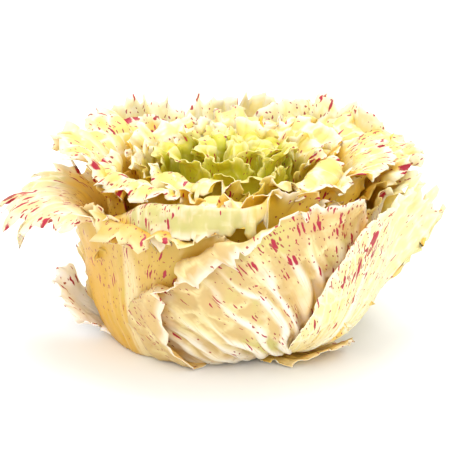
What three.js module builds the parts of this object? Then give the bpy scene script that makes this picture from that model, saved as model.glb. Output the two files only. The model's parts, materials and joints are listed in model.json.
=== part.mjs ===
// A loose head of variegated radicchio of the Castelfranco type, standing on its cut stem.
//
// Millimetres, +Z up. The origin is the middle of the cut face, on the surface that carries the
// head, and the front of the head looks along -Y. Azimuths are in degrees from +X, seen from above.
//
// The head is a short conical stem and the leaves that grow from it in a spiral. Every leaf lies
// on its own cup, and the cups nest inside one another, so no leaf passes through its neighbour.
import * as THREE from 'three';

// ---------------------------------------------------------------- driving dimensions

const STEM_RADIUS = 15;
const STEM_COLLAR = 3;
const STEM_HEIGHT = 46;
const STEM_TIP_RADIUS = 0.4;
const FOOT_GAP = 0.35;

// A cup's meridian is a blend of these two lines of [radius, height]: the axis inside the heart,
// and the outermost cup, which spreads low over the surface before it turns up to the rim.
const HEART_LINE = [[0, 46], [0, 52], [0, 60], [0, 70], [0, 80], [0, 90], [0, 99]];
const OUTER_LINE = [[15, 3.2], [42, 2.4], [66, 4.5], [86, 24], [94, 54], [99, 82], [104, 103]];

// A blade is LAMINA thick, and its rib thins out between these two shares of the way to the margin.
const LAMINA = 1.0;
const RIB_THINS_FROM = 0.15;
const RIB_THINS_TO = 0.9;
const RIB_SPREAD = 0.4;

// Where a ray of the flat leaf bows: its middle point, as shares of the foot's x and the margin's y.
const KNEE_X = 1.15;
const KNEE_Y = 0.42;

// A loose leaf leaves its cup between these two distances from the foot, and its side does so
// between these two distances from the rib. Near the ground the side also sags.
const AWAY_ALONG = [10, 70];
const ASIDE = [8, 40];
const SAG_ALONG = [0, 45];
const SAG_HEIGHTS = [12, 50];

const ROSETTE_COUNT = 26;
const ROSETTE_FIRST_FOOT = 13.9;
const ROSETTE_FOOT_STEP = 1.11;
const ROSETTE_FIRST_AZIMUTH = -112;
const ROSETTE_SQUARE = 0.75;
const GOLDEN_ANGLE = 137.5;
const HEART_FROM = 15;
const STEM_SIDES = 24;
const ROUGHNESS = 0.55;

const DEG = Math.PI / 180;

// ---------------------------------------------------------------- the cup's meridian

/** Radius of the stem's cone at a height. */
function stemRadius(height) {
  const slope = STEM_RADIUS / (STEM_HEIGHT - STEM_COLLAR);
  return Math.min(STEM_RADIUS, (STEM_HEIGHT - height) * slope);
}

/**
 * The meridian that a leaf follows from its foot on the stem: at(y) gives the radius, the height
 * and the slope angle at y millimetres along it. Past bend.from it turns outwards on a circle of
 * bend.radius, through bend.angle degrees, and then runs straight.
 */
function meridian(leaf) {
  const level = (STEM_HEIGHT - leaf.foot) / (STEM_HEIGHT - STEM_COLLAR);
  const points = OUTER_LINE.map(([r, z], i) => new THREE.Vector2(
    THREE.MathUtils.lerp(HEART_LINE[i][0], r, level),
    THREE.MathUtils.lerp(HEART_LINE[i][1], z, level),
  ));
  points[0].set(stemRadius(leaf.foot - leaf.rib) + FOOT_GAP, leaf.foot);
  const curve = new THREE.SplineCurve(points);
  const rim = curve.getLength();

  function onCup(y) {
    const u = THREE.MathUtils.clamp(y / rim, 0, 1);
    const point = curve.getPointAt(u);
    const tangent = curve.getTangentAt(u);
    const over = y - u * rim;
    return {
      r: point.x + tangent.x * over,
      z: point.y + tangent.y * over,
      slope: Math.atan2(tangent.y, tangent.x),
    };
  }

  function at(y) {
    const bend = leaf.bend;
    const from = rim + bend.from;
    if (y <= from) return onCup(y);
    const start = onCup(from);
    const turned = Math.min((y - from) / bend.radius, bend.angle * DEG);
    const straight = y - from - turned * bend.radius;
    const slope = start.slope - turned;
    return {
      r: start.r + bend.radius * (Math.sin(start.slope) - Math.sin(slope)) + straight * Math.cos(slope),
      z: start.z + bend.radius * (Math.cos(slope) - Math.cos(start.slope)) + straight * Math.sin(slope),
      slope,
    };
  }

  return { rim, at };
}

// ---------------------------------------------------------------- one leaf

/** A power that keeps its base's sign. */
function signedPower(base, exponent) {
  return Math.sign(base) * Math.abs(base) ** exponent;
}

/**
 * The flat leaf, spread on a table: x across and y along it. column runs from -1, the left edge,
 * to 1, the right edge, along the margin; row runs from 0, the foot, to 1, the margin. The margin
 * is part of an ellipse, and a leaf.square under 1 fills out its corners.
 */
function flatLeaf(leaf, column, row, length) {
  const half = column < 0 ? leaf.left : leaf.right;
  const sweep = column * half.sweep * DEG;
  const waist = leaf.waist * length;
  const rise = Math.cos(sweep) > 0 ? length - waist : half.drop * length;
  const margin = new THREE.Vector2(
    half.width * Math.abs(Math.sin(sweep)) ** leaf.square * Math.sign(column),
    waist + rise * signedPower(Math.cos(sweep), leaf.square),
  );
  const foot = new THREE.Vector2(column * leaf.footWidth / 2, 0);
  const knee = new THREE.Vector2(foot.x * KNEE_X, margin.y * KNEE_Y);
  const ray = new THREE.QuadraticBezierCurve(foot, knee, margin);
  return ray.getPoint(row);
}

/** A point of the leaf's inner face, and how thick the leaf is there. */
function leafPoint(leaf, line, length, column, row) {
  const flat = flatLeaf(leaf, column, row, length);
  const station = line.at(flat.y);
  const half = column < 0 ? leaf.left : leaf.right;

  // Across, the leaf bends round the head: hug 1 follows the cup, 0 leaves it along a tangent.
  const curvature = half.hug / Math.max(station.r, leaf.tightest);
  const turn = flat.x * curvature;
  const across = Math.sin(turn) / curvature;
  const inward = (1 - Math.cos(turn)) / curvature;

  const { height, count, phase } = leaf.wave;
  const wave = height * row * row * Math.sin(count * Math.PI * column + phase);
  const aside = THREE.MathUtils.smoothstep(Math.abs(flat.x), ...ASIDE);
  const away = (leaf.away + half.away * aside) * THREE.MathUtils.smoothstep(flat.y, ...AWAY_ALONG);
  const out = station.r + away - inward + wave * Math.sin(station.slope);
  const azimuth = (leaf.azimuth + leaf.lean * flat.y / length) * DEG;
  const reach = THREE.MathUtils.smoothstep(flat.y, ...SAG_ALONG);
  const low = 1 - THREE.MathUtils.smoothstep(station.z, ...SAG_HEIGHTS);
  const position = new THREE.Vector3(
    out * Math.cos(azimuth) - across * Math.sin(azimuth),
    out * Math.sin(azimuth) + across * Math.cos(azimuth),
    station.z - wave * Math.cos(station.slope) - half.sag * aside * reach * low,
  );
  const rib = (leaf.rib - LAMINA) * Math.exp(-((flat.x / (leaf.footWidth * RIB_SPREAD)) ** 2));
  const thin = THREE.MathUtils.smoothstep(row, RIB_THINS_FROM, RIB_THINS_TO);
  const thickness = LAMINA + rib * (1 - thin);
  return { position, thickness };
}

/** The leaf as one closed sheet: the inner face, the outer face and the edge that joins them. */
function leafGeometry(leaf) {
  const line = meridian(leaf);
  const length = line.rim + leaf.extra;
  const { columns, rows } = leaf;
  const grid = [];
  for (let j = 0; j <= rows; j += 1) {
    for (let i = 0; i <= columns; i += 1) {
      grid.push(leafPoint(leaf, line, length, (2 * i) / columns - 1, j / rows));
    }
  }
  const index = (i, j) => j * (columns + 1) + i;
  const count = grid.length;

  const positions = grid.flatMap(({ position }) => position.toArray());
  for (let j = 0; j <= rows; j += 1) {
    for (let i = 0; i <= columns; i += 1) {
      const { position, thickness } = grid[index(i, j)];
      const along = grid[index(i, Math.min(j + 1, rows))].position.clone();
      along.sub(grid[index(i, Math.max(j - 1, 0))].position);
      const across = grid[index(Math.min(i + 1, columns), j)].position.clone();
      across.sub(grid[index(Math.max(i - 1, 0), j)].position);
      const outward = across.cross(along).normalize();
      positions.push(...position.clone().addScaledVector(outward, thickness).toArray());
    }
  }

  const faces = [];
  const quad = (a, b, c, d) => faces.push(a, b, c, a, c, d);
  for (let j = 0; j < rows; j += 1) {
    for (let i = 0; i < columns; i += 1) {
      const [a, b, c, d] = [index(i, j), index(i + 1, j), index(i + 1, j + 1), index(i, j + 1)];
      quad(a, d, c, b);
      quad(a + count, b + count, c + count, d + count);
    }
  }
  for (let i = 0; i < columns; i += 1) {
    quad(index(i, 0), index(i + 1, 0), index(i + 1, 0) + count, index(i, 0) + count);
    quad(index(i + 1, rows), index(i, rows), index(i, rows) + count, index(i + 1, rows) + count);
  }
  for (let j = 0; j < rows; j += 1) {
    quad(index(0, j + 1), index(0, j), index(0, j) + count, index(0, j + 1) + count);
    const [low, high] = [index(columns, j), index(columns, j + 1)];
    quad(low, high, high + count, low + count);
  }

  const geometry = new THREE.BufferGeometry();
  geometry.setAttribute('position', new THREE.Float32BufferAttribute(positions, 3));
  geometry.setIndex(faces);
  geometry.computeVertexNormals();
  return geometry;
}

// ---------------------------------------------------------------- the leaves

/** Half a leaf's blade: its width, how far its margin sweeps round, and how it hangs. */
function halfBlade(width, sweep, changes = {}) {
  return { width, sweep, drop: 0.3, hug: 1, sag: 0, away: 0, ...changes };
}

/** A leaf with the usual proportions, changed where this one differs. */
function leafOf(name, azimuth, foot, left, right, changes = {}) {
  return {
    name,
    azimuth,
    foot,
    left,
    right,
    rib: 2.4,
    footWidth: 21,
    waist: 0.58,
    square: 1,
    extra: 0,
    lean: 0,
    away: 0,
    tightest: 14,
    bend: { from: 0, radius: 40, angle: 20 },
    wave: { height: 1.5, count: 2.5, phase: 0 },
    columns: 12,
    rows: 9,
    ...changes,
  };
}

/** The old outer leaves, each with a shape of its own. */
function outerLeaves() {
  return [
    leafOf('torn_leaf', -66, 3.2, halfBlade(20, 110), halfBlade(26, 110), {
      footWidth: 8, extra: -85, rib: 2, lean: 25, wave: { height: 0, count: 2, phase: 0 },
      columns: 8, rows: 6,
    }),
    leafOf('far_left_leaf', 180, 3.2, halfBlade(42, 125), halfBlade(52, 128), {
      extra: -52, rib: 2, away: 8,
    }),
    leafOf('back_leaf_low', 95, 3.2, halfBlade(58, 130), halfBlade(58, 130), { extra: -5 }),
    leafOf('right_leaf', -22, 6.4, halfBlade(24, 125),
      halfBlade(102, 148, { hug: 0.1, drop: 0.42 }),
      { lean: -16, footWidth: 14, rib: 2.2, away: 6, extra: -10 }),
    leafOf('back_leaf_left', 130, 6.0, halfBlade(60, 130), halfBlade(44, 130), { extra: 3 }),
    leafOf('back_leaf_right', 45, 6.6, halfBlade(58, 130), halfBlade(62, 130), { extra: 3 }),
    leafOf('front_leaf', -48, 9.2, halfBlade(121, 138, { sag: 6 }), halfBlade(14, 120), {
      extra: -7, waist: 0.5, square: 1.18, footWidth: 17, away: 7, columns: 16,
      wave: { height: 0.8, count: 2.5, phase: 0 },
    }),
    leafOf('left_leaf', -134, 9.6, halfBlade(74, 146, { drop: 0.45, sag: 6, away: 5 }),
      halfBlade(62, 128), { extra: -40, wave: { height: 0.8, count: 2.5, phase: 1 } }),
    leafOf('right_tip_leaf', -4, 11.9, halfBlade(48, 125), halfBlade(38, 125), {
      footWidth: 14, extra: -8, bend: { from: -35, radius: 30, angle: 62 },
    }),
    leafOf('left_tip_leaf', -176, 12.2, halfBlade(42, 125), halfBlade(46, 125), {
      footWidth: 15, extra: 15, bend: { from: -46, radius: 22, angle: 115 },
    }),
  ];
}

/** What sets single leaves of the rosette apart: how the rim rolls out and hangs. */
const ROSETTE_CHANGES = {
  0: { azimuth: -96, extra: 38, bend: { from: -5, radius: 9, angle: 168 }, rows: 12 },
  1: { extra: 12, bend: { from: -15, radius: 40, angle: 50 } },
  2: { extra: 19, bend: { from: -22, radius: 25, angle: 75 } },
  3: { extra: 8, bend: { from: -6, radius: 10, angle: 80 } },
  6: { extra: 12, bend: { from: -8, radius: 40, angle: 50 } },
};

/** The leaves of the rosette, from the front collar leaf in to the heart. */
function rosetteLeaves() {
  const leaves = [];
  for (let i = 0; i < ROSETTE_COUNT; i += 1) {
    const inner = i / (ROSETTE_COUNT - 1);
    const heart = i >= HEART_FROM;
    const azimuth = ((ROSETTE_FIRST_AZIMUTH + GOLDEN_ANGLE * i + 180) % 360) - 180;
    const width = THREE.MathUtils.lerp(64, 9, inner ** 0.9);
    const name = heart ? `heart_leaf_${i - HEART_FROM + 1}` : `rosette_leaf_${i + 1}`;
    leaves.push(leafOf(name, azimuth, ROSETTE_FIRST_FOOT + ROSETTE_FOOT_STEP * i,
      halfBlade(width, 128), halfBlade(width, 128), {
        square: ROSETTE_SQUARE,
        footWidth: THREE.MathUtils.lerp(19, 4, inner),
        rib: THREE.MathUtils.lerp(2.4, 1.0, inner),
        extra: 3 * Math.sin(2.4 * i) + 6 * Math.sin(azimuth * DEG) * (1 - inner),
        tightest: THREE.MathUtils.lerp(14, 7, inner),
        wave: { height: THREE.MathUtils.lerp(1.6, 0.8, inner), count: 2.5, phase: 1.9 * i },
        columns: heart ? 8 : 10,
        rows: heart ? 6 : 8,
        ...ROSETTE_CHANGES[i],
      }));
  }
  return leaves;
}

// ---------------------------------------------------------------- the head

/** The stem: a flat cut end below, and the cone that the leaves grow from. */
function stemGeometry() {
  return new THREE.LatheGeometry([
    new THREE.Vector2(0, 0),
    new THREE.Vector2(STEM_RADIUS, 0),
    new THREE.Vector2(STEM_RADIUS, STEM_COLLAR),
    new THREE.Vector2(stemRadius(STEM_HEIGHT / 2), STEM_HEIGHT / 2),
    new THREE.Vector2(STEM_TIP_RADIUS, STEM_HEIGHT),
    new THREE.Vector2(0, STEM_HEIGHT),
  ], STEM_SIDES).rotateX(Math.PI / 2);
}

const OUTER_COLOUR = '#f1dca6';
const ROSETTE_COLOUR = '#f3e3a0';
const HEART_COLOUR = '#c9bd45';
const STEM_COLOUR = '#f0dcb4';

function addMesh(group, name, geometry, colour) {
  const material = new THREE.MeshStandardMaterial({ color: colour, roughness: ROUGHNESS });
  const mesh = new THREE.Mesh(geometry, material);
  mesh.name = name;
  group.add(mesh);
}

const head = new THREE.Group();
addMesh(head, 'cut_stem', stemGeometry(), STEM_COLOUR);
for (const leaf of outerLeaves()) addMesh(head, leaf.name, leafGeometry(leaf), OUTER_COLOUR);
for (const leaf of rosetteLeaves()) {
  const colour = leaf.name.startsWith('heart') ? HEART_COLOUR : ROSETTE_COLOUR;
  addMesh(head, leaf.name, leafGeometry(leaf), colour);
}

export default head;
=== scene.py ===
# %% [markdown]
# # A head of variegated radicchio
#
# This lesson dresses a loose head of Castelfranco radicchio: a short stem hidden below, and
# leaves that open like a rose. The solids of the packed model give every leaf its place. They
# are plain sheets, so each one is replaced here by a leaf with veins, puckers and a frilled edge.

# %% Load the packed model
import json
import math
import bpy
import numpy as np
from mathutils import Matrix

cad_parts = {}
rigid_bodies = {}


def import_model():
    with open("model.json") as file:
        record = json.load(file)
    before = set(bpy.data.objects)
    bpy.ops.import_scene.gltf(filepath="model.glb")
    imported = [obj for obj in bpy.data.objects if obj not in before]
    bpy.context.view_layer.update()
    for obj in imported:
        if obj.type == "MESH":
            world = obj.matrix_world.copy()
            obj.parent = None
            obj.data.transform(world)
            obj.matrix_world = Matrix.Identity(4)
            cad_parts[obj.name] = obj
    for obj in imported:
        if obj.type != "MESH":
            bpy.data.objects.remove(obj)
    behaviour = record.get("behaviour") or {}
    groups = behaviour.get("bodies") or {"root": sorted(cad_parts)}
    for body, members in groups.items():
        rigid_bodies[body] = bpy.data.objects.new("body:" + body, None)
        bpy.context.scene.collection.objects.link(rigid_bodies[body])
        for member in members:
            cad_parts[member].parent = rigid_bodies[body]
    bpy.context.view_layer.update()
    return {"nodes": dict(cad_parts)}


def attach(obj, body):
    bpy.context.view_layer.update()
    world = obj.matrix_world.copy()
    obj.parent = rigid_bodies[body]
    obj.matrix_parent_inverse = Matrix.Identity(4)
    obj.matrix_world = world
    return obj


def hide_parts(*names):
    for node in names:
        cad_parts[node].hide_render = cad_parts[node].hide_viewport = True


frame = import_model()
MM = 0.001
DEG = math.pi / 180
print("nodes to dress:", len(frame["nodes"]))

# %% [markdown]
# ## The camera
#
# The head stands on a table and is seen from a little above, so that the eye looks over the front
# leaves into the rose. A camera can be aimed with a constraint, or by its own angles. Here its
# place is worked out from one angle and one distance, so that each can be changed by itself.

# %% Camera
CAMERA_DISTANCE = 0.9
CAMERA_ELEVATION = 20 * DEG
CAMERA_FIELD = 15.66 * DEG
TARGET = (-0.0032, 0.0, 0.0544)


def make_camera():
    data = bpy.data.cameras.new("camera")
    data.angle = CAMERA_FIELD
    camera = bpy.data.objects.new("camera", data)
    bpy.context.collection.objects.link(camera)
    camera.location = (
        TARGET[0],
        TARGET[1] - CAMERA_DISTANCE * math.cos(CAMERA_ELEVATION),
        TARGET[2] + CAMERA_DISTANCE * math.sin(CAMERA_ELEVATION),
    )
    camera.rotation_euler = (math.pi / 2 - CAMERA_ELEVATION, 0, 0)
    bpy.context.scene.camera = camera


make_camera()
print("camera at", tuple(round(v, 3) for v in bpy.context.scene.camera.location))

# %% [markdown]
# ## The floor
#
# A plain matt sheet, far wider than the head, so that its edge is never in view and the head's
# soft shadow lies on it. A curved backdrop would do as well, but nothing here shows the bend.

# %% Floor
FLOOR_SIZE = 8
FLOOR_WHITE = 0.95
FLOOR_ROUGHNESS = 0.9


def make_floor():
    bpy.ops.object.select_all(action="DESELECT")
    bpy.ops.mesh.primitive_plane_add(size=FLOOR_SIZE)
    floor = bpy.context.object
    floor.name = "floor"
    paper = bpy.data.materials.new("floor_paper")
    paper.use_nodes = True
    shader = paper.node_tree.nodes["Principled BSDF"]
    shader.inputs["Base Color"].default_value = (*[FLOOR_WHITE] * 3, 1)
    shader.inputs["Roughness"].default_value = FLOOR_ROUGHNESS
    floor.data.materials.append(paper)


make_floor()
print("floor side in metres:", FLOOR_SIZE)

# %% [markdown]
# ## Soft light
#
# Pale leaves in a bright white room are lit from everywhere, and glow because some of the light
# passes through them. So the world is a white dome. One large soft lamp stands high behind the
# head, one fills from the front, and a weak warm one from the left side rounds the outer leaves.
# Small hard lamps would draw black gaps between the leaves. The plain display transform keeps
# the white floor white.

# %% Sky and lamps
SKY_STRENGTH = 1.08
# name, size in m, power in W, azimuth and elevation in degrees, distance in m, colour
LAMPS = (
    ("window", 0.9, 8.0, 80, 76, 1.2, (1.0, 0.99, 0.97)),
    ("fill", 0.8, 4.5, -80, 35, 1.4, (1.0, 0.99, 0.97)),
    ("side", 0.8, 2.0, 175, 12, 1.2, (1.0, 0.97, 0.92)),
)


def make_sky(strength):
    world = bpy.data.worlds.new("white_room")
    world.use_nodes = True
    sky = world.node_tree.nodes["Background"]
    sky.inputs["Color"].default_value = (1, 1, 1, 1)
    sky.inputs["Strength"].default_value = strength
    bpy.context.scene.world = world


def make_lamp(name, size, power, azimuth, elevation, distance, colour):
    data = bpy.data.lights.new(name, "AREA")
    data.shape = "DISK"
    data.size = size
    data.energy = power
    data.color = colour
    lamp = bpy.data.objects.new(name, data)
    bpy.context.collection.objects.link(lamp)
    flat = distance * math.cos(elevation * DEG)
    lamp.location = (
        flat * math.cos(azimuth * DEG),
        flat * math.sin(azimuth * DEG),
        distance * math.sin(elevation * DEG),
    )
    lamp.rotation_euler = (math.pi / 2 - elevation * DEG, 0, azimuth * DEG + math.pi / 2)


make_sky(SKY_STRENGTH)
for lamp in LAMPS:
    make_lamp(*lamp)
bpy.context.scene.view_settings.view_transform = "Standard"
print("lamps:", ", ".join(lamp[0] for lamp in LAMPS))

# %% [markdown]
# ## The cups that the leaves lie on
#
# A rosette packs well because each leaf lies on its own cup, and the cups nest. A cup's side line
# is a blend of two lines: the axis inside the heart, and the outermost cup. These are the same
# values as in the solids, in millimetres.

# %% Cups
SPLINE_STEPS = 60
STEM_RADIUS = 15
STEM_COLLAR = 3
STEM_HEIGHT = 46
FOOT_GAP = 0.35
HEART_LINE = [[0, 46], [0, 52], [0, 60], [0, 70], [0, 80], [0, 90], [0, 99]]
OUTER_LINE = [[15, 3.2], [42, 2.4], [66, 4.5], [86, 24], [94, 54], [99, 82], [104, 103]]
LAMINA = 1.0


def smooth(x, low, high):
    t = np.clip((x - low) / (high - low), 0, 1)
    return t * t * (3 - 2 * t)


def stem_radius(height):
    slope = STEM_RADIUS / (STEM_HEIGHT - STEM_COLLAR)
    return min(STEM_RADIUS, (STEM_HEIGHT - height) * slope)


def spline(points, steps=SPLINE_STEPS):
    """A Catmull-Rom curve through the points."""
    points = np.array(points, float)
    last = len(points) - 1
    out = []
    for i in range(last):
        p0, p1 = points[max(i - 1, 0)], points[i]
        p2, p3 = points[i + 1], points[min(i + 2, last)]
        for t in np.arange(steps) / steps:
            a = 2 * p1 - 2 * p2 + (p2 - p0) / 2 + (p3 - p1) / 2
            b = -3 * p1 + 3 * p2 - (p2 - p0) - (p3 - p1) / 2
            out.append(a * t ** 3 + b * t ** 2 + (p2 - p0) / 2 * t + p1)
    out.append(points[last])
    return np.array(out)


print("outermost cup's lip: radius", OUTER_LINE[-1][0], "mm, height", OUTER_LINE[-1][1], "mm")

# %% [markdown]
# ## One leaf's side line
#
# Seen from the side, a leaf rises from its foot along its cup, and past some point it bends away
# on a circle of its own. Both parts are one curve, made by adding up short steps along its slope.
# A curve object could be bent the same way, but here any distance along it can be looked up.

# %% Side line
LINE_STEP = 0.5
LINE_BEYOND_RIM = 90


def side_line(leaf):
    """The leaf's side line: its radius and height at each distance along it."""
    level = (STEM_HEIGHT - leaf["foot"]) / (STEM_HEIGHT - STEM_COLLAR)
    knots = [[h[0] + (o[0] - h[0]) * level, h[1] + (o[1] - h[1]) * level]
             for h, o in zip(HEART_LINE, OUTER_LINE)]
    knots[0] = [stem_radius(leaf["foot"] - leaf["rib"]) + FOOT_GAP, leaf["foot"]]
    curve = spline(knots)
    step = np.linalg.norm(np.diff(curve, axis=0), axis=1)
    along = np.concatenate([[0], np.cumsum(step)])
    rim = along[-1]
    y = np.arange(0, rim + LINE_BEYOND_RIM, LINE_STEP)
    slope_cup = np.arctan2(np.gradient(curve[:, 1], along), np.gradient(curve[:, 0], along))
    slope = np.interp(y, along, slope_cup)
    start = rim + leaf["bend"][0]
    turned = np.clip((y - start) / leaf["bend"][1], 0, leaf["bend"][2] * DEG)
    slope = np.where(y > start, np.interp(start, along, slope_cup) - turned, slope)
    mid = (slope[1:] + slope[:-1]) / 2
    r = knots[0][0] + np.concatenate([[0], np.cumsum(np.cos(mid) * LINE_STEP)])
    z = knots[0][1] + np.concatenate([[0], np.cumsum(np.sin(mid) * LINE_STEP)])
    return {"rim": rim, "y": y, "r": r, "z": z}


print("a side line is stepped every", LINE_STEP, "mm, to", LINE_BEYOND_RIM, "mm past the rim")

# %% [markdown]
# ## Uneven by rule
#
# Nothing on a leaf repeats exactly, yet the same script has to grow the same head each time. A
# list of random numbers would do, but it jumps from point to point. Noise on a lattice is smooth:
# each crossing has a fixed value, and the space between is blended. A net of uneven cells is made
# in the same way, from one stray centre in each cell, and serves as the mesh of small veins.

# %% Noise and cells
SEED_SHIFT = 17.3
SEED_STEP = 40503
LATTICE_PRIMES = (73856093, 19349663, 83492791)
LATTICE_MIX = 1274126177
ALL_BITS = 0xFFFFFFFF
LOW_BITS = 0xFFFF
CENTRE_STRAY = 0.42
FAR_OFF = 9.0
LINE_SHIFT = 7.7


def noise(points, size, seed):
    """Smooth noise from -1 to 1 on a lattice of cells of the given size."""
    q = points / size + seed * SEED_SHIFT
    cell = np.floor(q).astype(np.int64)
    t = q - cell
    t = t * t * (3 - 2 * t)
    total = np.zeros(points.shape[:-1])
    for corner in range(2 ** points.shape[-1]):
        d = np.array([corner >> k & 1 for k in range(points.shape[-1])])
        total += lattice(cell + d, seed) * np.prod(np.where(d == 1, t, 1 - t), axis=-1)
    return total


def lattice(cell, seed):
    """A fixed random value from -1 to 1 for each lattice cell."""
    h = np.full(cell.shape[:-1], seed * SEED_STEP + 11, dtype=np.int64)
    for k in range(cell.shape[-1]):
        h = (h ^ (cell[..., k] * LATTICE_PRIMES[k])) & ALL_BITS
        h = ((h ^ (h >> 13)) * LATTICE_MIX) & ALL_BITS
    return ((h ^ (h >> 16)) & LOW_BITS) / (LOW_BITS / 2) - 1


def cell_edges(u, v, seed):
    """0 on the borders of a net of uneven cells, growing to 1 in their middles."""
    place = np.stack([u, v], axis=-1)
    home = np.floor(place).astype(np.int64)
    nearest = np.full(u.shape, FAR_OFF)
    second = np.full(u.shape, FAR_OFF)
    for du in (-1, 0, 1):
        for dv in (-1, 0, 1):
            cell = home + np.array([du, dv])
            stray = np.stack([lattice(cell, seed), lattice(cell, seed + 1)], axis=-1)
            centre = cell + 0.5 + CENTRE_STRAY * stray
            away = np.linalg.norm(place - centre, axis=-1)
            second = np.minimum(second, np.maximum(nearest, away))
            nearest = np.minimum(nearest, away)
    return np.clip(second - nearest, 0, 1)


def line_noise(s, size, seed):
    """The same noise, along one line."""
    return noise(np.stack([s, np.full_like(s, seed * LINE_SHIFT)], axis=-1), size, seed)


print("noise along 30 mm:", line_noise(np.arange(0, 30, 6.0), 7, 1).round(2).tolist())

# %% [markdown]
# ## The flat leaf
#
# Veins run up the broad rib in a bundle and then fan out to the margin, so the grid of a leaf
# follows them: a column is one ray from the foot to the margin, and a row is one distance along
# the rays. Relief, streaks and frills are then simple functions of column and row.

# %% Flat outline
RAY_SHOULDER = 1.15
RAY_RISE = 0.42


def flat_leaf(leaf, column, row, length):
    """x across and y along the spread leaf, for each column and row."""
    left = column < 0
    pick = lambda key: np.where(left, leaf["left"][key], leaf["right"][key])
    sweep = column * pick("sweep") * DEG
    waist = leaf["waist"] * length
    rise = np.where(np.cos(sweep) > 0, length - waist, pick("drop") * length)
    power = pick("square")
    margin_x = pick("width") * np.sign(column) * np.abs(np.sin(sweep)) ** power
    margin_y = waist + rise * np.sign(np.cos(sweep)) * np.abs(np.cos(sweep)) ** power
    span = np.hypot(margin_x, margin_y - waist) + 1e-6
    grow = 1 + (beyond_crest(leaf, column) + between(column, leaf["reach"])) / span
    margin_x = margin_x * grow
    margin_y = waist + (margin_y - waist) * grow
    foot_x = column * leaf["foot_width"] / 2
    a, b, c = (1 - row) ** 2, 2 * row * (1 - row), row ** 2
    x = a * foot_x + b * foot_x * RAY_SHOULDER + row ** leaf["flare"] * margin_x
    y = b * margin_y * RAY_RISE + c * margin_y
    return x, y


def between(column, knots):
    """The value at each column, between the (column, value, ...) knots."""
    if not knots:
        return np.zeros_like(column)
    return np.interp(column, [knot[0] for knot in knots], [knot[1] for knot in knots])


def beyond_crest(leaf, column):
    """Millimetres of blade beyond the line where the leaf folds or rolls, for each column."""
    return between(column, leaf["fold"] or leaf["roll"])


print("a ray's middle point stands at", round(RAY_RISE * 100), "% of the ray's height")

# %% [markdown]
# ## Teeth and notches
#
# The margin of this leaf is cut into small uneven teeth, with a notch here and there where it
# tore. They could be cut with a boolean, which leaves a ragged mesh. Here the last rows of the
# grid are pulled out or in instead, so every vein ends in a tooth or a notch and stays whole.

# %% Teeth
TOOTH_SIDES = (0.8, 3.6)
TALLEST_TOOTH = 2.6
NOTCH = -0.9
FRAY = 0.3
TOOTH_SHARPNESS = 1.15
POINT_SHARPNESS = 1.25


def teeth(leaf, s, rng):
    """Millimetres that the teeth and notches add to the margin, along it."""
    total = s[-1]
    out = np.zeros_like(s)
    for _ in range(int(total / leaf["tooth_gap"])):
        place = rng.uniform(0, total)
        height = min(rng.exponential(leaf["tooth"]), TALLEST_TOOTH * leaf["tooth"])
        height *= rng.choice([1, 1, NOTCH])
        rise, fall = rng.uniform(*TOOTH_SIDES, 2)
        t = np.where(s < place, (place - s) / rise, (s - place) / fall)
        out += height * np.clip(1 - t, 0, 1) ** TOOTH_SHARPNESS
    for share, height, width in leaf["points"]:
        t = np.abs(s - share * total) / width
        out += height * np.clip(1 - t, 0, 1) ** POINT_SHARPNESS
    return np.maximum(out, -leaf["deepest"]) + FRAY * rng.standard_normal(len(s))


print("a tooth's side is", TOOTH_SIDES[0], "to", TOOTH_SIDES[1], "mm wide")

# %% [markdown]
# ## Round the cup
#
# A leaf of a rosette is part of a bowl: across, it hugs the leaves inside it, and along, it
# follows the side line of its cup. A cloth simulation could drape it, but no cloth grew in this
# shape. So each point of the flat leaf is laid on the bowl by arc length, which keeps the leaf's
# true size. The right leaf hugs its cup least, and the low edges of the front ones sag.

# %% Wrap on the cup
AWAY_FROM_RIB = (8, 40)
AWAY_FROM_FOOT = (10, 70)
SAG_FROM_FOOT = (0, 45)
SAG_BELOW = (12, 50)


def wrap(leaf, line, x, y, length):
    """The spread leaf on its cup."""
    r = np.interp(y, line["y"], line["r"])
    z = np.interp(y, line["y"], line["z"])
    left = x < 0
    hug = np.where(left, leaf["left"]["hug"], leaf["right"]["hug"])
    curvature = hug / np.maximum(r, leaf["tightest"])
    turn = x * curvature
    across = np.sin(turn) / curvature
    inward = (1 - np.cos(turn)) / curvature
    side_away = np.where(left, leaf["left"]["away"], leaf["right"]["away"])
    away = leaf["away"] + side_away * smooth(np.abs(x), *AWAY_FROM_RIB)
    out = r + away * smooth(y, *AWAY_FROM_FOOT) - inward
    azimuth = (leaf["azimuth"] + leaf["lean"] * y / length) * DEG
    low = 1 - smooth(z, *SAG_BELOW)
    z = z - between(x, leaf["sags"]) * smooth(y, *SAG_FROM_FOOT) * low
    return np.stack([
        out * np.cos(azimuth) - across * np.sin(azimuth),
        out * np.sin(azimuth) + across * np.cos(azimuth),
        z,
    ], axis=-1)


def unit(v):
    return v / (np.linalg.norm(v, axis=-1, keepdims=True) + 1e-9)


def outward_normals(grid):
    return unit(np.cross(np.gradient(grid, axis=1), np.gradient(grid, axis=0)))


def to_margin(grid):
    """Distance of each point from the margin, along its column."""
    step = np.linalg.norm(np.diff(grid, axis=0), axis=-1)
    run = np.concatenate([np.zeros((1, grid.shape[1])), np.cumsum(step, axis=0)])
    return run[-1] - run, run


print("a leaf stands off its cup fully from", AWAY_FROM_FOOT[1], "mm above its foot")

# %% [markdown]
# ## A folded crest
#
# The front leaf folds outwards at its crest and lies back against itself. Bending the mesh along
# one axis would turn the whole leaf. So each column is bent by itself: up to the line of the fold
# it stays, and beyond it follows half a circle and then runs back along the leaf's own outer side,
# lifting a little on the way.

# %% Fold
SHORTEST_BEND = 0.5
PROBE = 1


def down_column(field, along, i, place):
    """The field's value at a distance along column i."""
    return np.stack([np.interp(place, along, field[:, i, k]) for k in range(3)], axis=-1)


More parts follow.
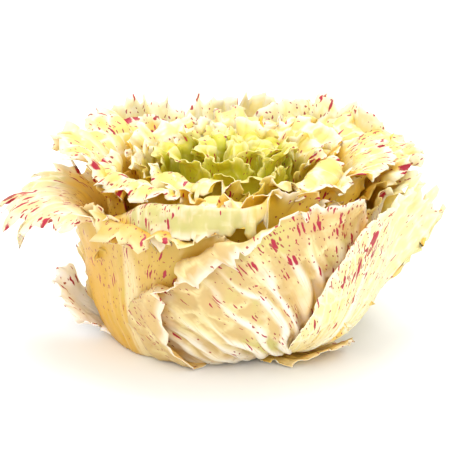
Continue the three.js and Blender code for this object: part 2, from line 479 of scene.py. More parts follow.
def at_line(grid, normal, along, i, line):
    """Where column i bends: the point, and the directions forward and outward."""
    before = down_column(grid, along, i, line - PROBE)
    after = down_column(grid, along, i, line + PROBE)
    return down_column(grid, along, i, line), unit(after - before), down_column(normal, along, i, line)


def fold_back(leaf, grid, column):
    """Fold the margin outwards: half a turn, and then back along the leaf's own outer side."""
    normal = outward_normals(grid)
    run = to_margin(grid)[1]
    out = grid.copy()
    length = beyond_crest(leaf, column[0])
    radius = leaf["fold_radius"]
    for i in np.nonzero(length > SHORTEST_BEND)[0]:
        along = run[:, i]
        line = along[-1] - length[i]
        start, forward, side = at_line(grid, normal, along, i, line)
        beyond = along - line
        turn = np.clip(beyond / radius, 0, math.pi)[:, None]
        arc = start + radius * (forward * np.sin(turn) + side * (1 - np.cos(turn)))
        back = np.clip(beyond - math.pi * radius, 0, None)
        lift = (2 * radius + back * leaf["fold_lift"])[:, None]
        laid = down_column(grid, along, i, line - back)
        laid = laid + lift * down_column(normal, along, i, line - back)
        folded = np.where(back[:, None] > 0, laid, arc)
        out[:, i] = np.where(beyond[:, None] > 0, folded, grid[:, i])
    return out


print("margins of less than", SHORTEST_BEND, "mm aren't bent")

# %% [markdown]
# ## Rolled and curled margins
#
# Some margins roll over like the lip of a jug, and every frill ends in a small curl, out here and
# in there. Both are the same move with other sizes: the last part of each column leaves on a
# circle, turns through its angle, and goes on straight. Smooth noise along the margin picks the
# angle of the curl, so that it swings instead of repeating.

# %% Roll and curl
CURL_OUTWARD = 0.45
CURL_WAVES = (17, 7)
SECOND_WAVE = 0.5
SMALLEST_ANGLE = 1
SMALLEST_TURN = 0.02


def roll(grid, width, angle, radius):
    """Roll the last width mm of each column outwards on a circle, and then run straight on."""
    normal = outward_normals(grid)
    run = to_margin(grid)[1]
    out = grid.copy()
    for i in np.nonzero((width > SHORTEST_BEND) & (np.abs(angle) > SMALLEST_ANGLE))[0]:
        along = run[:, i]
        line = along[-1] - width[i]
        start, forward, side = at_line(grid, normal, along, i, line)
        side = unit(side) * np.sign(angle[i])
        beyond = np.clip(along - line, 0, None)[:, None]
        turn = np.minimum(beyond / radius[i], abs(angle[i]) * DEG)
        rest = beyond - turn * radius[i]
        rolled = (start + forward * (radius[i] * np.sin(turn) + rest * np.cos(turn))
                  + side * (radius[i] * (1 - np.cos(turn)) + rest * np.sin(turn)))
        out[:, i] = np.where(beyond > 0, rolled, grid[:, i])
    return out


def roll_margin(leaf, grid, column):
    """Roll the margin outwards as far as the leaf's list of (column, width, angle, radius) says."""
    knots = np.array(leaf["roll"])
    return roll(grid, *(np.interp(column, knots[:, 0], knots[:, k]) for k in (1, 2, 3)))


def curl_margin(leaf, grid, s, calm):
    """Curl the last millimetres of the margin out or in, by turns."""
    swing = CURL_OUTWARD + line_noise(s, CURL_WAVES[0], leaf["seed"])
    swing += SECOND_WAVE * line_noise(s, CURL_WAVES[1], leaf["seed"] + 3)
    angle = leaf["curl"] * swing * calm
    width = np.full_like(s, leaf["curl_width"])
    return roll(grid, width, angle, width / np.maximum(np.abs(angle) * DEG, SMALLEST_TURN))


print("curls swing over", CURL_WAVES, "mm of margin")

# %% [markdown]
# ## Ruffles
#
# A frilled margin is longer than the line it runs along, so it buckles from side to side: waves
# of about 30, 13 and 6 mm ride on one another, and each dies out inwards over about its own
# length. A Displace modifier could push them out, but it makes sharp crests. Sliding the wave
# sideways as it rises rounds its turns, as in a real ruffle.

# %% Ruffles
BIG_RUFFLES = ((34, 3.4, 0.5), (14, 2.2, 0.9), (6, 0.9, 0.8))
SMALL_RUFFLES = ((17, 3.0, 0.5), (8, 1.8, 0.8), (4, 0.6, 0.8))
RUFFLE_DEPTH = 0.62
RUFFLE_FADE = 1.5
STRAY_LENGTH = 1.7
STRAY_TURN = 1.98
SWELL_LENGTH = 2.3
SWELL_MEAN = 0.75
SWELL_SWING = 0.7
SWELL_LIMITS = (0.1, 1.5)
FREE_LENGTH = (18, 60)
FREE_FROM_FOOT = (10, 50)
FULL_TURN = 6.28


def ruffle(leaf, grid, s, d, run, calm, rng):
    """Push the margin from side to side in waves that ride on one another."""
    normal = outward_normals(grid)
    along = unit(np.gradient(grid, axis=1))
    push = np.zeros(d.shape)
    slide = np.zeros(d.shape)
    for length, height, lean in leaf["ruffles"]:
        seed = leaf["seed"] + int(length)
        stray = STRAY_TURN * line_noise(s, length * STRAY_LENGTH, seed)
        swell = SWELL_MEAN + SWELL_SWING * line_noise(s, length * SWELL_LENGTH, seed + 5)
        swell = np.clip(swell, *SWELL_LIMITS)
        phase = 2 * math.pi * s / length + stray + rng.uniform(0, FULL_TURN)
        reach = np.exp(-(np.maximum(d, 0) / (RUFFLE_DEPTH * length)) ** RUFFLE_FADE)
        push += height * swell * np.sin(phase) * reach
        slide += -height * lean * swell * np.sin(2 * phase) * reach ** RUFFLE_FADE
    free = smooth(np.broadcast_to(run[-1], d.shape), *FREE_LENGTH) * smooth(run, *FREE_FROM_FOOT)
    free = free * calm
    push *= free
    slide *= free
    return grid + normal * push[..., None] + along * slide[..., None]


print("ruffles of a big leaf:", ", ".join(f"{wave[0]} mm long" for wave in BIG_RUFFLES))

# %% [markdown]
# ## Veins
#
# Three kinds of vein show: the white rib up the middle, straight rays that fan out of it, and a
# net of small veins between them that is strongest near the margin. They are worked out once as
# a map over the grid. The same map raises the surface and, later, whitens it, so the colour can't
# slip off the relief.

# %% Veins
RIB_AT_FOOT = 0.16
RIB_AT_TIP = 0.015
RIB_TAPER = 1.2
RIB_FADE = 0.7
RIB_FADES_FROM = 0.6
VEIN_WANDER = 0.25
WANDER_SIZE = 1.3
RAY_WANDER = 1.6
RAY_FADE = 0.8
NET_LINE = (0.02, 0.30)
NET_STARTS = (0.1, 0.35)


def vein_map(leaf, column, s, run, row):
    """Two maps that are 1 on the veins, and on the rib, and 0 between them."""
    u = np.broadcast_to(s, column.shape) / leaf["cell"][0]
    v = run / leaf["cell"][1]
    wander = VEIN_WANDER * noise(np.stack([u, v], axis=-1), WANDER_SIZE, leaf["seed"])
    net = 1 - smooth(cell_edges(u + wander, v + wander, leaf["seed"]), *NET_LINE)
    net = net * leaf["net"] * smooth(row, *NET_STARTS)
    rays = np.cos(2 * math.pi * (u * leaf["rays"] + wander * RAY_WANDER)) * 0.5 + 0.5
    rays = rays ** leaf["ray_power"] * (1 - smooth(row, leaf["ray_end"], 1) * RAY_FADE)
    rib_width = RIB_AT_FOOT * (1 - row) ** RIB_TAPER + RIB_AT_TIP
    rib = np.exp(-(column / rib_width) ** 2) * (1 - RIB_FADE * smooth(row, RIB_FADES_FROM, 1))
    return np.clip(np.maximum(net, rays), 0, 1), rib


print("the rib takes", round(RIB_AT_FOOT * 100), "% of each half at the foot")

# %% [markdown]
# ## Where the marks crowd
#
# On this head the wine-red strokes gather in a few places, such as the torn tips at the left and
# the crest of the front leaf. Each place is given by a column, a row and a size in mm on the flat
# leaf, and becomes a soft spot in a map. Painting by hand would be freer, but could not be
# changed by one value.

# %% Crowded marks
def blush_map(leaf, x, y, crowding):
    """1 in the middle of each place where the marks run together, falling off round it."""
    blush = np.zeros_like(x)
    for column, row, size in leaf["blushes"]:
        i = round((column + 1) / 2 * leaf["columns"])
        j = round(row ** (1 / crowding) * leaf["rows"])
        blush = np.maximum(blush, np.exp(-((x - x[j, i]) ** 2 + (y - y[j, i]) ** 2) / size ** 2))
    return blush


print("a spot fades to", round(math.exp(-1), 2), "at its own size from its middle")

# %% [markdown]
# ## One leaf's surface
#
# Now the steps follow one another as in growth: the blade is laid on its cup, the margin folds,
# rolls and curls, teeth are pulled, and veins, puckers and ruffles push the surface along its
# normal. Each step reads the surface that the last one left. The maps that the finish will read,
# such as distance from the margin, are kept beside the points.

# %% Leaf surface
ROW_CROWDING = 0.85
CALM_SEAM = (-0.15, 0.15)
TOOTH_PULL = 1.3
SWELL_SIZE = 34
SWELL_HEIGHT = 2.2
SWELL_STARTS = (0.15, 0.6)
PUCKER_STRETCH = 0.7
FINE_PUCKER = 0.5
PUCKER_ON_VEIN = 0.6
RELIEF_LEVEL = 0.35
RELIEF_STARTS = (0.1, 0.4)
STOUT_ENDS = (0.15, 0.9)
RIB_BULGE = 1.2
THIN_AT_MARGIN = 0.66
THINS_FROM = 0.4
WHITE_EDGE = (6.0, 0.5)
TABLE_GAP = 0.2


def leaf_surface(leaf):
    """Points of the leaf's inner face on a grid, with the maps that its finish reads."""
    rng = np.random.default_rng(leaf["seed"])
    line = side_line(leaf)
    length = line["rim"] + leaf["extra"]
    column, row = np.meshgrid(np.linspace(-1, 1, leaf["columns"] + 1),
                              np.linspace(0, 1, leaf["rows"] + 1) ** ROW_CROWDING)
    x, y = flat_leaf(leaf, column, row, length)
    blush = blush_map(leaf, x, y, ROW_CROWDING)
    grid = wrap(leaf, line, x, y, length)
    s = np.concatenate([[0], np.cumsum(np.linalg.norm(np.diff(grid[-1], axis=0), axis=1))])
    d, run = to_margin(grid)
    veins, rib = vein_map(leaf, column, s, run, row)
    calm = np.interp(column[0], CALM_SEAM, [leaf[side]["calm"] for side in ("left", "right")])
    if leaf["fold"]:
        grid = fold_back(leaf, grid, column)
    if leaf["roll"]:
        grid = roll_margin(leaf, grid, column[0])
    grid = curl_margin(leaf, grid, s, calm)

    tooth = teeth(leaf, s, rng) * calm
    forward = unit(np.gradient(grid, axis=0))
    pull = tooth * smooth(d, leaf["tooth_zone"], 0) ** TOOTH_PULL
    grid = grid + forward * pull[..., None]
    normal = outward_normals(grid)
    flat_point = np.stack([np.broadcast_to(s, d.shape), run * PUCKER_STRETCH], axis=-1)
    shared = SWELL_HEIGHT * noise(grid, SWELL_SIZE, 1) * smooth(row, *SWELL_STARTS)
    size = leaf["pucker_size"]
    pucker = leaf["pucker"] * (noise(flat_point, size, leaf["seed"])
                               + FINE_PUCKER * noise(flat_point, size / 2, leaf["seed"] + 9))
    relief = leaf["ridge"] * (veins - RELIEF_LEVEL) + pucker * (1 - PUCKER_ON_VEIN * veins)
    grid = grid + normal * (shared + relief * smooth(row, *RELIEF_STARTS))[..., None]
    grid = ruffle(leaf, grid, s, d, run, calm, rng)
    stout = rib * (1 - smooth(row, *STOUT_ENDS))
    grid[..., 2] = np.maximum(grid[..., 2], LAMINA + TABLE_GAP + RIB_BULGE * stout)
    thickness = LAMINA * (1 - THIN_AT_MARGIN * smooth(row, THINS_FROM, 1))
    thickness += (leaf["rib"] - LAMINA) * stout
    # golden parts; on the collar, the front leaf and the right leaf they are painted shade
    golden = between(column, leaf["golden"]) * (1 - smooth(row, *leaf["golden_end"]))
    return {"grid": grid, "s": s, "run": run, "rim": row, "veins": np.maximum(veins, rib),
            "edge": smooth(d, *WHITE_EDGE), "golden": golden, "blush": blush,
            "thickness": thickness}


print("a blade is", LAMINA, "mm thick, and", round(LAMINA * (1 - THIN_AT_MARGIN), 2), "at its margin")

# %% [markdown]
# ## Deep between the leaves
#
# Deep in the head the leaves have seen no sun: they stay yellow, and light reaches them only
# through other leaves. That depth is painted into the colour here, as shade and golden glow. Painting
# it by height would miss it, because each leaf is deep on one side and open on the other. So from
# points on each face of each leaf, short rays look out over the half space above it, and the share
# that another leaf stops is kept as the map of painted shade.

# %% Painted shade between the leaves
from mathutils import Vector
from mathutils.bvhtree import BVHTree

SHADE_RAY_REACH = 55
SHADE_RAY_COUNT = 12
TREE_STRIDE = 3
GOLDEN_ANGLE = 137.5
ANY_AXIS = (0.3, 0.5, 0.81)


def sky_rays(count):
    """Directions spread over the half space above +Z, more of them near the middle."""
    k = np.arange(count) + 0.5
    radius = np.sqrt(k / count)
    turn = k * GOLDEN_ANGLE * DEG
    return np.stack([radius * np.cos(turn), radius * np.sin(turn), np.sqrt(1 - radius ** 2)], axis=-1)


def head_tree(surfaces):
    """All the leaves as one coarse net of faces that rays can be tested against."""
    points, faces = [], []
    for made in surfaces.values():
        grid = made["grid"][::TREE_STRIDE, ::TREE_STRIDE]
        rows, columns = grid.shape[:2]
        first = sum(len(p) for p in points)
        points.append(grid.reshape(-1, 3))
        j, i = np.meshgrid(np.arange(rows - 1), np.arange(columns - 1), indexing="ij")
        a = (first + j * columns + i).ravel()
        faces.append(np.stack([a, a + 1, a + columns + 1, a + columns], axis=-1))
    return BVHTree.FromPolygons(np.concatenate(points).tolist(), np.concatenate(faces).tolist())


def blocked_share(tree, point, normal, gap):
    """The share of the rays from a point, round its normal, that a leaf stops."""
    t = unit(np.cross(normal, ANY_AXIS))
    w = np.cross(normal, t)
    start = Vector(point + normal * gap)
    rays = sky_rays(SHADE_RAY_COUNT) @ np.stack([t, w, normal])
    stopped = [tree.ray_cast(start, Vector(ray), SHADE_RAY_REACH)[0] is not None for ray in rays]
    return sum(stopped) / SHADE_RAY_COUNT


print("rays from a point:", SHADE_RAY_COUNT, "of", SHADE_RAY_REACH, "mm")

# %% [markdown]
# ## A map of painted shade
#
# Rays from every vertex would take minutes. The shade changes slowly over a leaf, so it is found
# at every sixth row and column, on both faces, and filled in between. The rays start a little off
# the surface, or they would only find the leaf itself.

# %% Painted shade map
SHADE_STRIDE = 6
RAY_START_INSIDE = 1.2
RAY_START_OUTSIDE = 2.2


def shelter_map(tree, made):
    """How much of the sky other leaves hide from each point, which sets its painted shade: (on the
    inner face, on the outer face).
    """
    grid = made["grid"]
    normal = outward_normals(grid)
    rows = sorted(set(range(0, grid.shape[0], SHADE_STRIDE)) | {grid.shape[0] - 1})
    columns = sorted(set(range(0, grid.shape[1], SHADE_STRIDE)) | {grid.shape[1] - 1})
    faces = []
    for side, gap in ((-1, RAY_START_INSIDE), (1, RAY_START_OUTSIDE)):
        coarse = [[blocked_share(tree, grid[j, i], normal[j, i] * side, gap) for i in columns]
                  for j in rows]
        fine = np.stack([np.interp(np.arange(grid.shape[1]), columns, line) for line in coarse])
        fine = np.stack([np.interp(np.arange(grid.shape[0]), rows, fine[:, i])
                         for i in range(grid.shape[1])], axis=1)
        faces.append(fine)
    return faces


print("rows and columns from one sheltered point to the next:", SHADE_STRIDE)

# %% [markdown]
# ## From grid to sheet
#
# Blender's grid primitive already has the right faces and a flat map, so it is added with as many
# cuts as the grid has, and its vertices are moved to the worked-out points. They are matched by
# sorting, because the order in which the primitive makes them is its own business.

# %% Sheet through points
UV_UNIT = 100


def grid_object(name, points):
    """A sheet through the points[row, column], given in mm, and the order of its vertices."""
    bpy.ops.object.select_all(action="DESELECT")
    bpy.ops.mesh.primitive_grid_add(
        x_subdivisions=points.shape[1] - 1, y_subdivisions=points.shape[0] - 1, size=2, calc_uvs=True)
    piece = bpy.context.object
    piece.name = piece.data.name = name
    mesh = piece.data
    flat = np.empty(len(mesh.vertices) * 3)
    mesh.vertices.foreach_get("co", flat)
    flat = flat.reshape(-1, 3)
    order = np.lexsort((flat[:, 0].round(6), flat[:, 1].round(6)))
    placed = np.empty_like(flat)
    placed[order] = points.reshape(-1, 3) * MM
    mesh.vertices.foreach_set("co", placed.ravel())
    return piece, order


def lay_out(mesh, order, made):
    """The leaf's own map: along the margin, and up the rays, in units of UV_UNIT mm."""
    spread = np.empty((len(order), 2))
    along = np.broadcast_to(made["s"], made["run"].shape)
    spread[order] = np.stack([along, made["run"]], axis=-1).reshape(-1, 2) / UV_UNIT
    corner = np.empty(len(mesh.loops), dtype=np.int32)
    mesh.loops.foreach_get("vertex_index", corner)
    mesh.uv_layers[0].data.foreach_set("uv", spread[corner].ravel())


print("one unit of the leaf's map is", UV_UNIT, "mm")

# %% [markdown]
# ## The solid leaf
#
# A leaf isn't paper: the rib is over 2 mm thick, the blade a millimetre, the margin a third of
# that. Solidify gives each vertex its own share of the thickness through a vertex group, and
# closes the rim. The maps are written afterwards, because the two faces differ in how much
# painted shade they take. Then Decimate takes out the faces that the smooth parts can spare.

# %% Solid leaf
MAPS = ("veins", "rim", "edge", "golden", "blush")


def thicken(piece, order, made, rib):
    """A wall that is rib mm thick where the map says 1."""
    share = np.empty(len(order))
    share[order] = made["thickness"].ravel() / rib
    group = piece.vertex_groups.new(name="thick")
    for index, weight in enumerate(share):
        group.add([index], float(min(weight, 1)), "REPLACE")
    thick = piece.modifiers.new("thickness", "SOLIDIFY")
    thick.thickness = rib * MM
    thick.offset = 1
    thick.vertex_group = "thick"
    bpy.ops.object.modifier_apply(modifier=thick.name)
    piece.vertex_groups.clear()


def write_map(mesh, order, key, outer, inner):
    """A map on both faces: Solidify keeps the first sheet outside, and adds the inner one."""
    count = len(order)
    full = np.zeros(len(mesh.vertices), dtype=np.float32)
    full[:count][order] = outer.ravel()
    full[count:2 * count][order] = inner.ravel()
    attribute = mesh.attributes.new(key, "FLOAT", "POINT")
    attribute.data.foreach_set("value", full)


def make_leaf(leaf, made, tree):
    """The finished leaf, in place of its plain solid."""
    piece, order = grid_object(leaf["name"] + "_blade", made["grid"])
    lay_out(piece.data, order, made)
    thicken(piece, order, made, leaf["rib"])
    inner, outer = shelter_map(tree, made)
    # the map of painted shade, which differs on the two faces
    write_map(piece.data, order, "shelter", outer, inner)
    for key in MAPS:
        write_map(piece.data, order, key, made[key], made[key])
    fewer = piece.modifiers.new("fewer", "DECIMATE")
    fewer.ratio = leaf["keep"]
    bpy.ops.object.modifier_apply(modifier=fewer.name)
    bpy.ops.object.shade_smooth()
    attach(piece, "root")
    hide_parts(leaf["name"])
    piece.data.materials.append(LEAF_FINISH[leaf["finish"]])
    return piece


print("maps on a leaf:", ", ".join(MAPS), "and shelter")

# %% [markdown]
# ## Short words for nodes
#
# A finish is a graph of nodes. In the editor they are dragged and joined by hand. Here a few short
# calls add a node, join what goes into it, and give back the socket that comes out, so that a
# finish reads like a recipe.

# %% Node helpers
class Graph:
    """Short calls that add nodes to a node tree."""

    def __init__(self, tree):
        self.tree = tree

    def node(self, kind, **values):
        made = self.tree.nodes.new(kind)
        for key, value in values.items():
            setattr(made, key, value)
        return made

    def put(self, value, socket):
        if isinstance(value, bpy.types.NodeSocket):
            self.tree.links.new(value, socket)
        else:
            socket.default_value = value

    def mix(self, a, b, factor, blend="MIX"):
        made = self.node("ShaderNodeMix", data_type="RGBA", blend_type=blend)
        self.put(factor, made.inputs[0])
        self.put(a, made.inputs[6])
        self.put(b, made.inputs[7])
        return made.outputs[2]

    def ramp(self, value, low, high, to_low=0.0, to_high=1.0):
        made = self.node("ShaderNodeMapRange", interpolation_type="SMOOTHSTEP")
        for i, item in enumerate((value, low, high, to_low, to_high)):
            self.put(item, made.inputs[i])
        return made.outputs[0]

    def maths(self, kind, a, b):
        made = self.node("ShaderNodeMath", operation=kind)
        self.put(a, made.inputs[0])
        self.put(b, made.inputs[1])
        return made.outputs[0]

    def vector(self, kind, *values):
        made = self.node("ShaderNodeVectorMath", operation=kind)
        for i, value in enumerate(values):
            self.put(value, made.inputs[i])
        return made.outputs[0]

    def cloud(self, place, scale, detail=3.0, out="Fac"):
        made = self.node("ShaderNodeTexNoise")
        self.put(scale, made.inputs["Scale"])
        self.put(detail, made.inputs["Detail"])
        self.put(place, made.inputs["Vector"])
        return made.outputs[out]


print("node calls:", [name for name in vars(Graph) if not name.startswith("_")])

# %% [markdown]
# ## An empty group
#
# What several finishes share is built once, as a group: a small graph with named sockets on both
# sides. In this version of Blender the sockets belong to the group's interface, and the two nodes
# that stand for them inside follow by themselves.

# %% New group
def new_group(name, inputs, outputs):
    """An empty node group with the named sockets, and its input and output nodes."""
    tree = bpy.data.node_groups.new(name, "ShaderNodeTree")
    for direction, sockets in (("INPUT", inputs), ("OUTPUT", outputs)):
        for socket, kind in sockets:
            tree.interface.new_socket(socket, in_out=direction, socket_type="NodeSocket" + kind)
    graph = Graph(tree)
    return graph, graph.node("NodeGroupInput").outputs, graph.node("NodeGroupOutput").inputs


print("groups so far:", len(bpy.data.node_groups))

# %% [markdown]
# ## Crimson marks
#
# This variety is sprinkled with wine-red strokes that run with the veins, and with finer specks.
# An image could hold them, but it would have to be painted on each leaf. Voronoi cells, stretched
# along the leaf's own map, scatter them by rule: each cell draws its own size and chance, and
# a little noise frays the outline.

# %% Marks along the veins
MARK_FRAY = (0.018, 0.045, 0.0)
FRAY_SCALE = 300.0
SMALLEST_MARK = 0.35
SOFT_RIM = 0.65


def mark_group():
    """Elongated marks scattered along the veins: 1 inside a mark, 0 outside."""
    graph, given, wanted = new_group("marks_along_veins", [
        ("Leaf", "Vector"), ("Place", "Vector"), ("Cell", "Vector"), ("Size", "Float"),
        ("Chance", "Float")], [("Mask", "Float")])
    wobble = graph.cloud(given["Place"], FRAY_SCALE, out="Color")
    moved = graph.vector("MULTIPLY_ADD", wobble, MARK_FRAY, given["Leaf"])
    cells = graph.node("ShaderNodeTexVoronoi", voronoi_dimensions="2D")
    graph.put(1.0, cells.inputs["Scale"])
    graph.put(graph.vector("MULTIPLY", moved, given["Cell"]), cells.inputs["Vector"])
    drawn = graph.node("ShaderNodeSeparateColor")
    graph.put(cells.outputs["Color"], drawn.inputs[0])
    drawn_size = graph.ramp(drawn.outputs[1], 0.0, 1.0, SMALLEST_MARK, 1.0)
    size = graph.maths("MULTIPLY", drawn_size, given["Size"])
    core = graph.maths("MULTIPLY", size, SOFT_RIM)
    inside = graph.ramp(cells.outputs["Distance"], core, size, 1.0, 0.0)
    chosen = graph.maths("LESS_THAN", drawn.outputs[0], given["Chance"])
    graph.put(graph.maths("MULTIPLY", inside, chosen), wanted["Mask"])
    return graph.tree


MARKS = mark_group()
print("group made:", MARKS.name)

# %% [markdown]
# ## The tones of a leaf
#
# A leaf is near white on its ribs and veins, cream to yellow in the pockets between them, and greener
# in clouds. Shade is painted on as well: the Base tone towards the foot and on shaded faces, and Gold
# deep between the leaves, for the golden glow of light that came through other leaves. Tones are laid
# over one another like washes of paint: each new one covers the last only where its own map says so.
# The maps come from the mesh, so a vein's colour lies exactly on its ridge.

# %% Tones from the maps
EDGE_WHITE = 0.85
# scales of clouds, and pairs between which a map takes hold
POCKET_CLOUDS = 75.0
POCKET_CLOUD_EDGE = (0.42, 0.60)
GREEN_CLOUDS = 38.0
GREEN_CLOUD_EDGE = (0.56, 0.72)
GREEN_SHARE = 0.8
# rows over which the painted shade of the Base tone near the foot gives way to the blade
BLADE_STARTS = (0.35, 0.85)
HOLLOW = (0.0, 0.35)
WHITE_VEIN = (0.3, 0.9)
STREAK_CELLS = (70.0, 5.0, 1.0)
STREAK_EDGE = (0.52, 0.70)
STREAK_SHARE = 0.6
# painted shade: where the map turns a face to the Base tone, and deep down to Gold
SHADED = (0.45, 0.75)
SHADED_SHARE = 0.8
DEEP = (0.66, 1.0)
DEEP_SHARE = 0.95


def leaf_tone(graph, given, maps, place, leaf):
    """The tones of the blade, with its painted shade, without its marks."""
    clouds = graph.ramp(graph.cloud(place, POCKET_CLOUDS), *POCKET_CLOUD_EDGE)
    colour = graph.mix(given["Blade"], given["Pocket"], clouds)
    # painted shade: the lower part of the blade, deep in the head, takes the Base tone
    colour = graph.mix(given["Base"], colour, graph.ramp(maps["rim"], *BLADE_STARTS))
    # the Pocket tone in the hollows between veins: the leaf's own yellow, on the front leaf also
    # darkened as painted shade
    colour = graph.mix(given["Pocket"], colour, graph.ramp(maps["veins"], *HOLLOW))
    green = graph.ramp(graph.cloud(place, GREEN_CLOUDS), *GREEN_CLOUD_EDGE, 0.0, GREEN_SHARE)
    colour = graph.mix(colour, given["Green"], green)
    colour = graph.mix(colour, given["Vein"], graph.ramp(maps["veins"], *WHITE_VEIN))
    streak = graph.cloud(graph.vector("MULTIPLY", leaf, STREAK_CELLS), 1.0)
    streak = graph.ramp(streak, *STREAK_EDGE, 0.0, STREAK_SHARE)
    colour = graph.mix(colour, given["Pocket"], streak)
    colour = graph.mix(colour, given["Vein"], graph.maths("MULTIPLY", maps["edge"], EDGE_WHITE))
    # golden parts of the blade; some of them are painted shade below a crest and beside another leaf
    colour = graph.mix(colour, given["Gold"], maps["golden"])
    # painted shade from the map: Base where a face is shaded, Gold where it lies deep
    shaded = graph.ramp(maps["shelter"], *SHADED, 0.0, SHADED_SHARE)
    deep = graph.ramp(maps["shelter"], *DEEP, 0.0, DEEP_SHARE)
    return graph.mix(graph.mix(colour, given["Base"], shaded), given["Gold"], deep)


print("streaks to a unit of the leaf's map:", STREAK_CELLS[0], "across and", STREAK_CELLS[1], "along")

# %% [markdown]
# ## The leaf pattern
#
# All leaves share one recipe, each with its own tones, so it is a group with named inputs. Over
# the tones it lays three layers of marks: broad strokes, fine strokes and specks, thicker near
# the margin and in the crowded places. It puts out only the colour, and a height for the
# finest bumps.

# %% Leaf pattern
# kind, share of its chance, cells across and along in a unit of the map, size, colour
MARK_LAYERS = (
    ("Strokes", 0.22, (10.0, 6.0, 1.0), 0.25, (0.42, 0.004, 0.03, 1)),
    ("Strokes", 1.0, (30.0, 8.0, 1.0), 0.30, (0.40, 0.004, 0.03, 1)),
    ("Specks", 1.0, (32.0, 22.0, 1.0), 0.22, (0.36, 0.06, 0.04, 1)),
)
CROWD_CLOUDS = 26.0
CROWD_CLOUD_EDGE = (0.40, 0.62)
CROWD_BY_CLOUD = (0.2, 1.7)
CROWD_RIM = (0.4, 0.95)
CROWD_BY_RIM = (0.2, 1.5)
BLUSH_CROWD = 9.0
BLUSH_SWELL = 2.0
BLUSH_EDGE = (0.2, 1.0)
FINE_BUMPS = 260.0
FINE_DETAIL = 4.0


def pattern_group():
    """The colour and the fine relief of a leaf, from its tones and its own maps."""
    graph, given, wanted = new_group("leaf_pattern", [
        ("Base", "Color"), ("Blade", "Color"), ("Pocket", "Color"), ("Vein", "Color"),
        ("Gold", "Color"), ("Green", "Color"), ("Strokes", "Float"), ("Specks", "Float")],
        [("Colour", "Color"), ("Height", "Float")])
    maps = {key: graph.node("ShaderNodeAttribute", attribute_name=key).outputs["Fac"]
            for key in (*MAPS, "shelter")}
    place = graph.node("ShaderNodeTexCoord").outputs["Object"]
    leaf = graph.node("ShaderNodeUVMap").outputs["UV"]
    colour = leaf_tone(graph, given, maps, place, leaf)
    by_cloud = graph.cloud(place, CROWD_CLOUDS, 1.0)
    by_cloud = graph.ramp(by_cloud, *CROWD_CLOUD_EDGE, *CROWD_BY_CLOUD)
    by_rim = graph.ramp(maps["rim"], *CROWD_RIM, *CROWD_BY_RIM)
    by_blush = graph.maths("MULTIPLY", maps["blush"], BLUSH_CROWD)
    crowd = graph.maths("ADD", graph.maths("MULTIPLY", by_cloud, by_rim), by_blush)
    swell = graph.ramp(maps["blush"], *BLUSH_EDGE, 1.0, BLUSH_SWELL)
    for kind, strength, cell, size, tone in MARK_LAYERS:
        made = graph.node("ShaderNodeGroup", node_tree=MARKS)
        chance = graph.maths("MULTIPLY", given[kind], strength)
        graph.put(leaf, made.inputs["Leaf"])
        graph.put(place, made.inputs["Place"])
        graph.put(cell, made.inputs["Cell"])
        graph.put(graph.maths("MULTIPLY", swell, size), made.inputs["Size"])
        graph.put(graph.maths("MULTIPLY", crowd, chance), made.inputs["Chance"])
        colour = graph.mix(colour, tone, made.outputs["Mask"])
    graph.put(colour, wanted["Colour"])
    graph.put(graph.cloud(place, FINE_BUMPS, FINE_DETAIL), wanted["Height"])
    return graph.tree


LEAF_PATTERN = pattern_group()
print("group made:", LEAF_PATTERN.name, "with", len(LEAF_PATTERN.nodes), "nodes")

# %% [markdown]
# ## The leaf's skin
#
# A salad leaf is moist and satin, and light scatters inside it. A translucent shader would let
# light straight through; subsurface scattering with a short reach, longest in red, gives
# the soft warm glow of a fleshy blade and keeps the fine relief crisp. The shader stays in each
# material, and only the colour and the bump come from the group.

# %% Leaf finish
ROUGHNESS = 0.42
SCATTER_WEIGHT = 0.45
SCATTER_RADIUS = (1.0, 0.7, 0.25)
SCATTER_SCALE = 0.0008
BUMP_STRENGTH = 0.35
BUMP_DISTANCE = 0.0006


def leaf_material(name, *tones, strokes, specks):
    """A leaf's finish: tones are its base, also its painted shade, blade, pockets, veins, gold for its
    golden parts and painted deep shade, and green clouds.
    """
    material = bpy.data.materials.new(name)
    material.use_nodes = True
    graph = Graph(material.node_tree)
    shader = material.node_tree.nodes["Principled BSDF"]
    pattern = graph.node("ShaderNodeGroup", node_tree=LEAF_PATTERN)
    for socket, tone in zip(("Base", "Blade", "Pocket", "Vein", "Gold", "Green"), tones):
        graph.put((*tone, 1), pattern.inputs[socket])
    graph.put(strokes, pattern.inputs["Strokes"])
    graph.put(specks, pattern.inputs["Specks"])
    graph.put(pattern.outputs["Colour"], shader.inputs["Base Color"])
    shader.inputs["Roughness"].default_value = ROUGHNESS
    shader.inputs["Subsurface Weight"].default_value = SCATTER_WEIGHT
    shader.inputs["Subsurface Radius"].default_value = SCATTER_RADIUS
    shader.inputs["Subsurface Scale"].default_value = SCATTER_SCALE
    shader.subsurface_method = "BURLEY"
    bump = graph.node("ShaderNodeBump")
    bump.inputs["Strength"].default_value = BUMP_STRENGTH
    bump.inputs["Distance"].default_value = BUMP_DISTANCE
    graph.put(pattern.outputs["Height"], bump.inputs["Height"])
    graph.put(bump.outputs["Normal"], shader.inputs["Normal"])
    return material


print("satin roughness", ROUGHNESS, "and scattering", SCATTER_WEIGHT)
